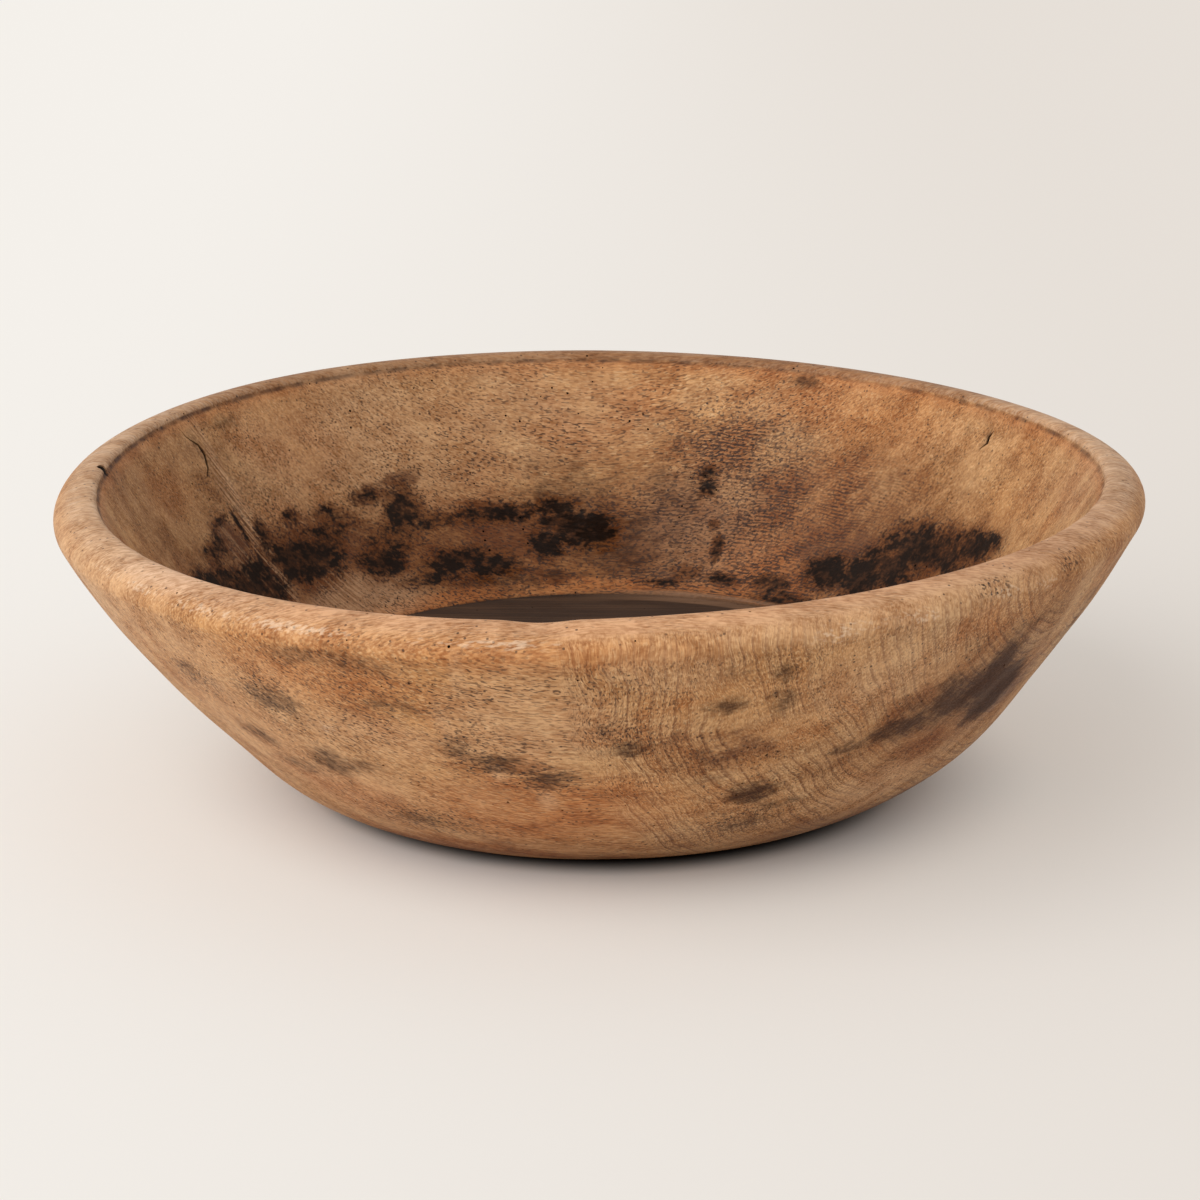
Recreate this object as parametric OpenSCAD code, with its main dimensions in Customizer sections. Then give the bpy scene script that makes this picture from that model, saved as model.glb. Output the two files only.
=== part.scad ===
// Round dough bowl, turned from one block of wood, with a rolled rim,
// a thick base and a flat floor let into the bottom of the hollow.
// The bowl stands on z = 0 and its front is towards -Y.

/* [Rim] */
// Widest diameter, over the rolled rim
rim_d = 450; // [380:1:520]
// Height of the rim's crest above the bench, at the middle
rim_h = 131.5; // [100:0.5:170]
// Width of the rim, from its widest point in to the inner edge
rim_w = 19; // [14:0.5:26]
// Height of the crest above the rim's widest point
roll_h = 10; // [6:0.5:14]
// Drop from the crest in to the inner edge
edge_drop = 2.5; // [1:0.5:5]
// Slope of the rim plane, lower towards -X, in degrees
rim_tilt = 0.9; // [0:0.05:1.5]

/* [Outside] */
// Diameter of the turned bottom, before the foot is planed flat
base_d = 180; // [120:1:220]
// Power of the outside curve, fuller as it gets smaller
belly = 0.52; // [0.45:0.01:0.7]
// Depth of wood planed off the bottom to make the flat foot
foot_cut = 3; // [2.5:0.5:5]

/* [Hollow] */
// Thickness of the base under the floor
floor_t = 34; // [25:1:45]
// Width of the wall, measured level, at the bottom of the hollow
low_wall_w = 26; // [18:1:36]
// Power of the hollow's curve, fuller as it gets smaller
hollow_curve = 0.85; // [0.6:0.01:1.2]
// Depth of the flat floor below the hollow's bottom corner
floor_step = 3; // [2.5:0.5:6]
// Width of the ledge between the hollow's wall and the floor
ledge_w = 3; // [1:0.5:8]

/* [Wear] */
// Length of the worn nick along the rim's inner edge
nick_w = 24; // [12:1:60]
// Depth of the worn nick
nick_depth = 1.4; // [0.5:0.1:3]
// Direction of the worn nick from +X, in degrees
nick_angle = 264; // [0:1:359]

/* [Hidden] */
$fn = 180;

outside_steps = 26;
roll_steps = 16;
edge_steps = 6;
hollow_steps = 14;
// How far the roll turns under its widest point, to run into the wall
roll_under = 22;
// Where the crest lies across the rim, from the inner edge out
crest_share = 0.25;
// How closely the outside's steps crowd towards the bottom, where it turns fastest
crowding = 2;
// Overrun of every cut
over = 5;

rim_r = rim_d / 2;
base_r = base_d / 2;
edge_r = rim_r - rim_w;
crest_r = edge_r + crest_share * rim_w;
wide_z = rim_h - roll_h;
edge_z = rim_h - edge_drop;
corner_z = floor_t + floor_step;
// The turned bottom lies one foot cut below the bench
base_z = -foot_cut;

// Where the outside wall runs into the roll
join_r = crest_r + (rim_r - crest_r) * cos(roll_under);
join_z = wide_z - roll_h * sin(roll_under);

corner_r = outside_r(corner_z) - low_wall_w;
floor_r = corner_r - ledge_w;

// A cylinder of this radius sinks nick_depth into an edge over nick_w
nick_r = (pow(nick_w / 2, 2) + pow(nick_depth, 2)) / (2 * nick_depth);
// The nick follows the rim's slope from the crest down to the inner edge
nick_slope = atan2(edge_drop, crest_r - edge_r);

// Radius of the outside wall at a height
function outside_r(z) =
    base_r + (join_r - base_r) * pow((z - base_z) / (join_z - base_z), belly);

// Height of the outside wall's step i
function outside_z(i) =
    base_z + (join_z - base_z) * pow(i / outside_steps, crowding);

// Radius of the hollow at a share of its height, 0 at the corner
function hollow_r(share) =
    corner_r + (edge_r - corner_r) * pow(share, hollow_curve);

// Points of an elliptical arc, from angle a to angle b
function arc(centre, radii, a, b, steps) = [
    for (i = [0:steps])
        let (t = a + (b - a) * i / steps)
        centre + [radii.x * cos(t), radii.y * sin(t)]
];

function outside_points() =
    [for (i = [0:outside_steps - 1]) [outside_r(outside_z(i)), outside_z(i)]];

function rim_points() = concat(
    arc([crest_r, wide_z], [rim_r - crest_r, roll_h], -roll_under, 90, roll_steps),
    arc([crest_r, edge_z], [crest_r - edge_r, edge_drop], 90, 180, edge_steps)
);

function hollow_points() = [
    for (i = [hollow_steps - 1:-1:0])
        let (share = i / hollow_steps)
        [hollow_r(share), corner_z + (edge_z - corner_z) * share]
];

// The bowl as it left the lathe: outside, rolled rim and hollow in one outline
module turned_bowl() {
    rotate_extrude()
        polygon(concat(
            [[0, base_z]],
            outside_points(),
            rim_points(),
            hollow_points(),
            [[0, corner_z]]
        ));
}

// The nick that years of scraping and pouring wore into the inner edge
module edge_nick() {
    rotate([0, 0, nick_angle])
        translate([edge_r, 0, edge_z])
            rotate([0, -nick_slope, 0])
                translate([-over, 0, nick_r - nick_depth])
                    rotate([0, 90, 0])
                        cylinder(r = nick_r, h = rim_w + over);
}

// The level floor, cut through the sloping bottom of the hollow
module floor_cut() {
    translate([0, 0, floor_t])
        cylinder(r = floor_r, h = floor_step + over);
}

// Everything below the bench, taken off to leave the flat foot
module bench_cut() {
    translate([0, 0, base_z - over])
        cylinder(r = rim_r, h = over - base_z);
}

module bowl() {
    color("#a87748")
        difference() {
            rotate([0, -rim_tilt, 0])
                difference() {
                    turned_bowl();
                    edge_nick();
                }
            floor_cut();
            bench_cut();
        }
}

bowl();
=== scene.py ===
# %% [markdown]
# # A round dough bowl
#
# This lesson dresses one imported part, an old wooden dough bowl, in Blender.
# The real bowl was turned from a single block of hardwood, dried a little out
# of round, and was used for so long that its inside is stained nearly black in
# places. So there is one piece to make, and nearly all the work goes into its
# surface: the slight warp, the cracks and beetle burrows, and the wood itself.
#
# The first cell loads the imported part. It is the frame that everything is
# built around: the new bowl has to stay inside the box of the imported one.

import math

import bmesh
import bpy
import numpy as np
from mathutils import Matrix, Vector, noise


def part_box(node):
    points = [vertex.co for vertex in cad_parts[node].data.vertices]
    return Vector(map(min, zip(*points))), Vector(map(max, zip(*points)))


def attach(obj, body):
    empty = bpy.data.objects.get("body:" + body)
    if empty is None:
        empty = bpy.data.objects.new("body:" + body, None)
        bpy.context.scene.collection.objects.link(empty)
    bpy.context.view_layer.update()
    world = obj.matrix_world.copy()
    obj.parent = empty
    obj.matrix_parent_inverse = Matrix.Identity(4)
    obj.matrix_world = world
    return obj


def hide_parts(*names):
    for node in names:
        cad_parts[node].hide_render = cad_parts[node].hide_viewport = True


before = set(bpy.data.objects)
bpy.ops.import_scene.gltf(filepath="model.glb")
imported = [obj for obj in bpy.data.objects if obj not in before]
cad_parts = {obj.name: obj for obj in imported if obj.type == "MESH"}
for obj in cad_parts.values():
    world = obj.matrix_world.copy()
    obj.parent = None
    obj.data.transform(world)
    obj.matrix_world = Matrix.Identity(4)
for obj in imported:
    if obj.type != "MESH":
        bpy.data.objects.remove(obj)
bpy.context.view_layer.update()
low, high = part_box("bowl")
MM = 0.001
print("packed bowl, mm:", [round(side / MM, 1) for side in high - low])

# %% [markdown]
# ## The camera
#
# A photograph can be matched only from the place it was taken from. The rim
# shows as an ellipse, and how flat it is tells how far down the camera looked:
# 17 degrees. How far away it stood hardly shows, so a usual 1.5 m was taken.
# The lens follows from the bowl's width in the picture.

# %% Camera
PHOTO_PX = 1200
FOCAL_PX = 3590
SENSOR_MM = 36
LOOK_DOWN = math.radians(17)
CAMERA_AWAY = 1500 * MM
LOOK_AT = Vector((-2.5, 0, 73.3)) * MM

camera = bpy.data.objects.new("camera", bpy.data.cameras.new("camera"))
bpy.context.scene.collection.objects.link(camera)
camera.data.sensor_width = SENSOR_MM
camera.data.lens = FOCAL_PX / PHOTO_PX * SENSOR_MM
camera.location = LOOK_AT + CAMERA_AWAY * Vector((0, -math.cos(LOOK_DOWN), math.sin(LOOK_DOWN)))
camera.rotation_euler = (math.pi / 2 - LOOK_DOWN, 0, 0)
bpy.context.scene.camera = camera
print("lens, mm:", round(camera.data.lens, 1))

# %% [markdown]
# ## Helpers for node trees
#
# Geometry Nodes and materials are both trees of nodes. One small function adds
# a node, sets its options, and fills its inputs: a plain value is typed in,
# and another node, or one of its outputs, is linked. The others start a
# geometry tree, end it, and run it on an object, keeping the result as a plain
# mesh.

# %% Node helpers
def pick(sockets, key):
    """The socket at a number, or the first usable one of that name."""
    if isinstance(key, int):
        return sockets[key]
    return next(s for s in sockets if s.enabled and s.name == key)


def add(tree, kind, inputs=None, **settings):
    """Adds a node with its settings, its typed values and its links."""
    made = tree.nodes.new(kind)
    for name, value in settings.items():
        setattr(made, name, value)
    for key, value in (inputs or {}).items():
        if isinstance(value, bpy.types.Node):
            value = next(s for s in value.outputs if s.enabled)
        if isinstance(value, bpy.types.NodeSocket):
            tree.links.new(value, pick(made.inputs, key))
        else:
            pick(made.inputs, key).default_value = value
    return made


MATH = "ShaderNodeMath"
VECTOR_MATH = "ShaderNodeVectorMath"


def geometry_tree(name, sizes):
    """A new geometry tree with a mesh going in and out, and one named input for each size."""
    tree = bpy.data.node_groups.new(name, "GeometryNodeTree")
    tree.interface.new_socket("Mesh", in_out="INPUT", socket_type="NodeSocketGeometry")
    for label, kind in sizes.items():
        tree.interface.new_socket(label, in_out="INPUT", socket_type="NodeSocket" + kind)
    tree.interface.new_socket("Mesh", in_out="OUTPUT", socket_type="NodeSocketGeometry")
    return tree, tree.nodes.new("NodeGroupInput").outputs


def end_tree(tree, mesh, surface):
    """Ends a tree: copies become real mesh, and everything gets its material."""
    real = add(tree, "GeometryNodeRealizeInstances", {"Geometry": mesh})
    covered = add(tree, "GeometryNodeSetMaterial", {"Geometry": real, "Material": surface})
    add(tree, "NodeGroupOutput", {"Mesh": covered})


def run_tree(obj, tree, values):
    """Runs a tree on an object with these sizes, and leaves a plain mesh and no modifier."""
    modifier = obj.modifiers.new(tree.name, "NODES")
    modifier.node_group = tree
    for item in tree.interface.items_tree:
        if item.in_out == "INPUT" and item.name in values:
            modifier[item.identifier] = values[item.name]
    graph = bpy.context.evaluated_depsgraph_get()
    mesh = bpy.data.meshes.new_from_object(obj.evaluated_get(graph))
    obj.modifiers.remove(modifier)
    obj.data = mesh
    print(f"{tree.name}: {len(mesh.vertices)} points, {len(mesh.polygons)} faces")


# %% [markdown]
# ## The outline on the lathe
#
# A turned bowl is one outline spun round an axis, so the outline is the design.
# It runs from the middle of the foot, up the outside, over the rolled rim, down
# the hollow and across the floor. The outside is a power curve, which is
# steep at the rim and nearly flat at the foot. The rim is part of an ellipse,
# with the inner edge left sharp, as it is on the real bowl. Its sizes are in
# millimetres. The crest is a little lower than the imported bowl's, because
# drying will lift parts of it again.
#
# Each point also gets its *reach*: how far it lies along the surface from
# the rim's inner edge, counted down into the hollow, and with a minus sign over
# the rim and down the outside. Later every stain is placed by its reach and its
# angle, as one would say "a hand's width below the rim, towards the back".

# %% Outline
RIM_R = (high.y - low.y) / 2 / MM
CREST_Z = 130.6
ROLL_H = 10
RIM_W = 19
EDGE_DROP = 2.5
CREST_SHARE = 0.25
ROLL_UNDER = math.radians(22)
BASE_R = 90
FOOT_CUT = 3
BELLY = 0.52
FLOOR_Z = 34
CORNER_Z = 37
CORNER_R = 139.5
LEDGE_W = 3
HOLLOW_CURVE = 0.85

edge_r = RIM_R - RIM_W
crest_r = edge_r + CREST_SHARE * RIM_W
wide_z = CREST_Z - ROLL_H
edge_z = CREST_Z - EDGE_DROP
join_r = crest_r + (RIM_R - crest_r) * math.cos(ROLL_UNDER)
join_z = wide_z - ROLL_H * math.sin(ROLL_UNDER)

WALL_ROWS = 50
WALL_CROWDING = 1.5
ROLL_ROWS = 18
EDGE_ROWS = 5
HOLLOW_ROWS = 40
COVE_ROWS = 4
FLOOR_ROWS = 6


def steps(count):
    """Shares from 0 up to, but not including, 1."""
    return np.arange(count) / count


def outline():
    """Outline points (radius, height) in mm, from the middle of the foot to the middle of the floor."""
    t = steps(WALL_ROWS) ** WALL_CROWDING
    wall = (BASE_R + (join_r - BASE_R) * t ** BELLY, -FOOT_CUT + (join_z + FOOT_CUT) * t)
    t = -ROLL_UNDER + (math.pi / 2 + ROLL_UNDER) * steps(ROLL_ROWS)
    roll = (crest_r + (RIM_R - crest_r) * np.cos(t), wide_z + ROLL_H * np.sin(t))
    t = math.pi / 2 * (1 + steps(EDGE_ROWS))
    edge = (crest_r + (crest_r - edge_r) * np.cos(t), edge_z + EDGE_DROP * np.sin(t))
    t = 1 - steps(HOLLOW_ROWS)
    hollow = (CORNER_R + (edge_r - CORNER_R) * t ** HOLLOW_CURVE, CORNER_Z + (edge_z - CORNER_Z) * t)
    t = math.pi / 2 * steps(COVE_ROWS)
    cove = (CORNER_R - LEDGE_W * np.sin(t), FLOOR_Z + (CORNER_Z - FLOOR_Z) * np.cos(t))
    t = 1 - np.append(steps(FLOOR_ROWS), 1)
    floor = ((CORNER_R - LEDGE_W) * t, FLOOR_Z + 0 * t)
    parts = [((0,), (-FOOT_CUT,)), wall, roll, edge, hollow, cove, floor]
    return np.concatenate([np.stack(part, axis=1) for part in parts])


points = outline()
edge_row = 1 + WALL_ROWS + ROLL_ROWS + EDGE_ROWS
floor_row = edge_row + HOLLOW_ROWS + COVE_ROWS
walked = np.append(0, np.cumsum(np.linalg.norm(np.diff(points, axis=0), axis=1)))
reach = walked - walked[edge_row]
floor_reach = reach[floor_row]
print("outline rows:", len(points), " rim to floor, mm:", round(floor_reach, 1))

# %% [markdown]
# ## Turning it
#
# The outline becomes a string of mesh points, and a Geometry Nodes tree does
# the turning. It makes a grid with one row for each outline point, then asks
# every grid point for its row and its column: the row gives the radius and the
# height, and the column gives the angle. Merging the last column with the first
# closes the skin.

# %% Turned bowl
SEGMENTS = 540
SAME_PLACE = 0.01 * MM

outline_mesh = bpy.data.meshes.new("outline")
outline_mesh.from_pydata([(r * MM, 0, z * MM) for r, z in points], [], [])
bowl = bpy.data.objects.new("bowl_wood", outline_mesh)
bpy.context.scene.collection.objects.link(bowl)
wood = bpy.data.materials.new("old_oiled_hardwood")

tree, given = geometry_tree("Turn the outline", {"Segments": "Int"})
rows = add(tree, "GeometryNodeAttributeDomainSize", {"Geometry": given["Mesh"]}, component="MESH")
columns = add(tree, MATH, {0: given["Segments"], 1: 1})
grid = add(tree, "GeometryNodeMeshGrid", {"Vertices X": columns, "Vertices Y": rows.outputs["Point Count"]})
index = add(tree, "GeometryNodeInputIndex")
row = add(tree, MATH, {0: index, 1: rows.outputs["Point Count"]}, operation="MODULO")
column = add(tree, MATH, {0: index, 1: rows.outputs["Point Count"]}, operation="DIVIDE")
column = add(tree, MATH, {0: column}, operation="FLOOR")
turn = add(tree, MATH, {0: column, 1: given["Segments"]}, operation="DIVIDE")
turn = add(tree, MATH, {0: turn, 1: math.tau}, operation="MULTIPLY")
here = add(tree, "GeometryNodeInputPosition")
on_outline = add(
    tree,
    "GeometryNodeSampleIndex",
    {"Geometry": given["Mesh"], "Value": here, "Index": row},
    data_type="FLOAT_VECTOR",
)
spun = add(tree, "ShaderNodeVectorRotate", {"Vector": on_outline, "Angle": turn}, rotation_type="Z_AXIS")
mesh = add(tree, "GeometryNodeSetPosition", {"Geometry": grid, "Position": spun})
closed = add(tree, "GeometryNodeMergeByDistance", {"Geometry": mesh, "Distance": SAME_PLACE})
end_tree(tree, closed, wood)
run_tree(bowl, tree, {"Segments": SEGMENTS})

# %% [markdown]
# ## Beetle burrows and chisel marks
#
# The wood is full of small round holes, where beetle grubs once gnawed their
# way out. A burrow is a real hole, so it is cut, not painted: a small cutter
# stands at each scattered point, and one Mesh Boolean takes them all away. The
# Poisson setting keeps them apart, and a slow noise gathers them in groups, as
# grubs keep to the softer wood.
#
# On the inner wall, at the back, a chisel left rows of short marks. Here a small
# raster is held before the wall, and each of its points drops on to the nearest
# place of the bowl, where a long, flat cutter takes out one chip.

# %% Trees that cut
def take_away(tree, whole, cutters):
    """Takes the cutters from the whole, and ends the tree."""
    cut = add(
        tree,
        "GeometryNodeMeshBoolean",
        {"Mesh 1": whole, "Mesh 2": cutters},
        operation="DIFFERENCE",
        solver="MANIFOLD",
    )
    end_tree(tree, cut, wood)


def take_away_at(tree, whole, places, shape, turned, scale):
    """Stands a cutter on every place, and takes them all from the whole."""
    stood = add(
        tree,
        "GeometryNodeInstanceOnPoints",
        {"Points": places, "Instance": shape, "Rotation": turned, "Scale": scale},
    )
    take_away(tree, whole, add(tree, "GeometryNodeRealizeInstances", {"Geometry": stood}))


# %% Burrows
BURROW_SIDES = 6
CUTTER_LONG = 5 * MM
CLUMPS_PER_METRE = 14.0

sizes = {"Per square metre": "Float", "Apart": "Float", "Thinnest": "Float", "Thickest": "Float"}
sizes["Seed"] = "Int"
tree, given = geometry_tree("Beetle burrows", sizes)
clump = add(tree, "ShaderNodeTexNoise", {"Scale": CLUMPS_PER_METRE, "Detail": 1.0})
clump = add(tree, "ShaderNodeMapRange", {"Value": clump.outputs["Fac"], "From Min": 0.42, "From Max": 0.66})
spots = add(
    tree,
    "GeometryNodeDistributePointsOnFaces",
    {
        "Mesh": given["Mesh"],
        "Distance Min": given["Apart"],
        "Density Max": given["Per square metre"],
        "Density Factor": clump,
        "Seed": given["Seed"],
    },
    distribute_method="POISSON",
)
hole = add(tree, "GeometryNodeMeshCylinder", {"Vertices": BURROW_SIDES, "Radius": 1.0, "Depth": CUTTER_LONG})
width = add(tree, "FunctionNodeRandomValue", {"Min": given["Thinnest"], "Max": given["Thickest"], "Seed": 3})
scale = add(tree, "ShaderNodeCombineXYZ", {"X": width, "Y": width, "Z": 1.0})
take_away_at(tree, given["Mesh"], spots.outputs["Points"], hole, spots.outputs["Rotation"], scale)
burrows = {"Per square metre": 4600.0, "Apart": 4 * MM, "Thinnest": 0.3 * MM, "Thickest": 0.65 * MM}
burrows["Seed"] = 5
run_tree(bowl, tree, burrows)

# %% [markdown]
# The raster stands square to the middle of the marked patch. Its own X runs
# round the bowl and its Y runs up the wall. A random few of its points are
# dropped, and those outside an uneven oval, so the patch has no straight edge.

# %% Chisel marks
PATCH_ANGLE = 69
PATCH_REACH = 68
PATCH_COLUMNS = 19
PATCH_ROWS = 31
JITTER = 0.5 * MM
OVAL_BUMPS_PER_METRE = 60.0
OVAL_BUMP = 0.9
OVAL_CUT = 0.92


def on_outline(distance):
    """The outline's radius and height in mm at a reach, and its outward direction there."""
    r, z = (np.interp(distance, reach, points[:, k]) for k in (0, 1))
    ahead = [np.interp(distance + 0.5, reach, points[:, k]) for k in (0, 1)]
    step = np.array([ahead[0] - r, ahead[1] - z])
    return r, z, np.array([step[1], -step[0]]) / np.linalg.norm(step)


def on_bowl(angle, distance):
    """A place on the turned bowl, with its directions outward, round the bowl, and up the wall."""
    r, z, (out_r, out_z) = on_outline(distance)
    cos, sin = math.cos(math.radians(angle)), math.sin(math.radians(angle))
    out = Vector((out_r * cos, out_r * sin, out_z))
    around = Vector((-sin, cos, 0))
    return Vector((r * cos, r * sin, z)) * MM, out, around, out.cross(around)


middle, out, around, up = on_bowl(PATCH_ANGLE, PATCH_REACH)
facing = Matrix((around, up, out)).transposed().to_euler()

sizes = {"Middle": "Vector", "Facing": "Rotation", "Long": "Float", "High": "Float"}
sizes.update({"Chip": "Vector", "Kept": "Float"})
tree, given = geometry_tree("Chisel marks", sizes)
raster = add(
    tree,
    "GeometryNodeMeshGrid",
    {
        "Size X": given["Long"],
        "Size Y": given["High"],
        "Vertices X": PATCH_COLUMNS,
        "Vertices Y": PATCH_ROWS,
    },
)
shift = add(
    tree,
    "FunctionNodeRandomValue",
    {"Min": (-JITTER, -JITTER, 0), "Max": (JITTER, JITTER, 0)},
    data_type="FLOAT_VECTOR",
)
raster = add(tree, "GeometryNodeSetPosition", {"Geometry": raster, "Offset": shift})
here = add(tree, "GeometryNodeInputPosition")
oval = add(tree, "ShaderNodeCombineXYZ", {"X": given["Long"], "Y": given["High"], "Z": 1.0})
oval = add(tree, VECTOR_MATH, {0: here, 1: oval}, operation="DIVIDE")
oval = add(tree, VECTOR_MATH, {0: oval}, operation="LENGTH").outputs["Value"]
uneven = add(tree, "ShaderNodeTexNoise", {"Scale": OVAL_BUMPS_PER_METRE})
uneven = add(tree, MATH, {0: uneven.outputs["Fac"], 1: OVAL_BUMP}, operation="MULTIPLY")
away = add(tree, MATH, {0: oval, 1: uneven}, operation="ADD")
away = add(tree, MATH, {0: away, 1: OVAL_CUT}, operation="GREATER_THAN")
kept = add(tree, "FunctionNodeRandomValue", {"Probability": given["Kept"], "Seed": 8}, data_type="BOOLEAN")
dropped = add(tree, "FunctionNodeBooleanMath", {0: kept}, operation="NOT")
dropped = add(tree, "FunctionNodeBooleanMath", {0: dropped, 1: away}, operation="OR")
raster = add(tree, "GeometryNodeDeleteGeometry", {"Geometry": raster, "Selection": dropped})
raster = add(
    tree,
    "GeometryNodeTransform",
    {"Geometry": raster, "Translation": given["Middle"], "Rotation": given["Facing"]},
)
nearest = add(tree, "GeometryNodeProximity", {"Geometry": given["Mesh"]})
raster = add(tree, "GeometryNodeSetPosition", {"Geometry": raster, "Position": nearest})
chip = add(tree, "GeometryNodeMeshUVSphere", {"Segments": 8, "Rings": 5, "Radius": 1.0})
size = add(
    tree,
    "FunctionNodeRandomValue",
    {"Min": (0.6, 0.7, 0.6), "Max": (1.1, 1.1, 1.2)},
    data_type="FLOAT_VECTOR",
)
size = add(tree, VECTOR_MATH, {0: size, 1: given["Chip"]}, operation="MULTIPLY")
normal = add(tree, "GeometryNodeInputNormal")
normal = add(
    tree,
    "GeometryNodeSampleNearestSurface",
    {"Mesh": given["Mesh"], "Value": normal},
    data_type="FLOAT_VECTOR",
)
side = add(tree, VECTOR_MATH, {0: (0, 0, 1), 1: normal}, operation="CROSS_PRODUCT")
turned = add(
    tree,
    "FunctionNodeAxesToRotation",
    {"Primary Axis": normal, "Secondary Axis": side},
    primary_axis="Z",
    secondary_axis="X",
)
take_away_at(tree, given["Mesh"], raster, chip, turned, size)
chisel_marks = {
    "Middle": middle,
    "Facing": facing,
    "Long": 76 * MM,
    "High": 74 * MM,
    "Chip": (1.4 * MM, 0.5 * MM, 0.3 * MM),
    "Kept": 0.6,
}
run_tree(bowl, tree, chisel_marks)

# %% [markdown]
# ## Cracks, a knot hole and the flat foot
#
# Only a few things are cut at a chosen place, so their cutters are built point
# by point. A drying crack is a thin blade: wide at the middle, nearly nothing
# at its ends, and running to an edge inside the wood. The knot hole is a lumpy
# ball.
# The foot is cut by a block lying a little askew, because the whole bowl leans
# by that much once it has dried.

# %% Cutters made point by point
CRACKS = (
    ((30.2, 9), (30.6, 13), (30.4, 16), (31.6, 21)),
    ((154.6, 3), (153.9, 9), (152.5, 14), (152.3, 19), (153.1, 25), (154.4, 28.6), (156.8, 27)),
)
CRACK_WIDE = 1.0 * MM
CRACK_DEEP = 6 * MM
CRACK_TIP = 0.08
PLACES_PER_CORNER = 4
KNOT = (177, -1.5)
KNOT_SIZE = (3 * MM, 3.6 * MM, 4 * MM)
KNOT_BUMP = 0.25
BLOCK_HALF = 200 * MM
BLOCK_DEEP = 50 * MM
RIM_SLOPE = math.radians(0.8)


def blade(path):
    """Points and faces of a crack's cutter along (angle, reach) places."""
    fine = np.linspace(0, 1, PLACES_PER_CORNER * len(path))
    coarse = np.linspace(0, 1, len(path))
    angles, reaches = (np.interp(fine, coarse, [place[k] for place in path]) for k in (0, 1))
    corners = []
    for share, angle, distance in zip(fine, angles, reaches):
        place, out, around, up = on_bowl(angle, distance)
        size = max(math.sin(math.pi * share), CRACK_TIP)
        wide = CRACK_WIDE * size
        corners += [place + out * MM + around * wide, place + out * MM - around * wide]
        corners += [place - out * CRACK_DEEP * size]
    last = len(corners) - 3
    faces = [(0, 1, 2), (last, last + 2, last + 1)]
    for k in range(0, last, 3):
        for a, b in ((0, 1), (1, 2), (2, 0)):
            faces.append((k + b, k + a, k + 3 + a, k + 3 + b))
    return corners, faces


def lump(angle, distance, half):
    """Points and faces of a lumpy ball sunk into the bowl."""
    ball = bmesh.new()
    bmesh.ops.create_icosphere(ball, subdivisions=2, radius=1)
    place, out, around, up = on_bowl(angle, distance)
    corners = []
    for vertex in ball.verts:
        swell = 1 + KNOT_BUMP * noise.noise(vertex.co * 1.7)
        x, y, z = (swell * c * h for c, h in zip(vertex.co, half))
        corners.append(place + around * x + up * y + out * z)
    faces = [[vertex.index for vertex in face.verts] for face in ball.faces]
    ball.free()
    return corners, faces


def block(width, depth):
    """Points and faces of a block with its top through the origin, tipped like the dried bowl."""
    tip = Matrix.Rotation(RIM_SLOPE, 3, "Y")
    box = [(x, y, z) for x in (-width, width) for y in (-width, width) for z in (-depth, 0)]
    faces = [(0, 1, 3, 2), (4, 6, 7, 5), (0, 4, 5, 1), (2, 3, 7, 6), (0, 2, 6, 4), (1, 5, 7, 3)]
    return [tip @ Vector(corner) for corner in box], faces


cutters = [blade(path) for path in CRACKS]
cutters += [lump(*KNOT, KNOT_SIZE), block(BLOCK_HALF, BLOCK_DEEP)]
cutter_points, cutter_faces = [], []
for corners, faces in cutters:
    first = len(cutter_points)
    cutter_points += corners
    cutter_faces += [[first + k for k in face] for face in faces]
cutter_mesh = bpy.data.meshes.new("cutters")
cutter_mesh.from_pydata(cutter_points, [], cutter_faces)
cutter = bpy.data.objects.new("cutters", cutter_mesh)

tree, given = geometry_tree("Cracks, knot and foot", {"Cutters": "Object"})
shapes = add(tree, "GeometryNodeObjectInfo", {"Object": given["Cutters"]}).outputs["Geometry"]
take_away(tree, given["Mesh"], shapes)
run_tree(bowl, tree, {"Cutters": cutter})
bpy.data.objects.remove(cutter)

# %% [markdown]
# ## Dried out of round, and worn
#
# Wood shrinks more across its fibres than along them, so an old bowl is never
# true. This one's rim slopes a little down to the left, and two opposite sides
# of it have lifted while the two between them have sunk. Its two flanks are
# fuller at some heights and hollower at others. Handling has worn a flat on the
# rim at the right front, and a shallow dip in it at the front.
#
# All of that bends the whole skin, cuts and all, by plain rules. So first each
# point is told its angle and its reach, and how deep it lies below the turned
# outline, and then the rules move it.

# %% Angle, reach and depth of every point
def surface(mesh):
    """All points of a mesh, in mm."""
    at = np.empty(len(mesh.vertices) * 3, np.float32)
    mesh.vertices.foreach_get("co", at)
    return at.reshape(-1, 3).astype(float) / MM


def nearest_on_outline(r, z):
    """The reach, the distance and the outward direction of the outline's nearest place, for each point."""
    found = np.full((len(r), 4), np.inf)
    along_all = np.gradient(points, axis=0)
    out_all = np.stack([along_all[:, 1], -along_all[:, 0]], axis=1)
    out_all /= np.linalg.norm(out_all, axis=1)[:, None]
    for k in range(len(points) - 1):
        start, step = points[k], points[k + 1] - points[k]
        share = np.clip(((r - start[0]) * step[0] + (z - start[1]) * step[1]) / (step @ step), 0, 1)
        gap = np.hypot(r - start[0] - share * step[0], z - start[1] - share * step[1])
        out = out_all[k] + share[:, None] * (out_all[k + 1] - out_all[k])
        closer = gap < found[:, 1] - 1e-6
        here = np.stack([reach[k] + share * (reach[k + 1] - reach[k]), gap, out[:, 0], out[:, 1]], axis=1)
        found[closer] = here[closer]
    return found.T


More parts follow.
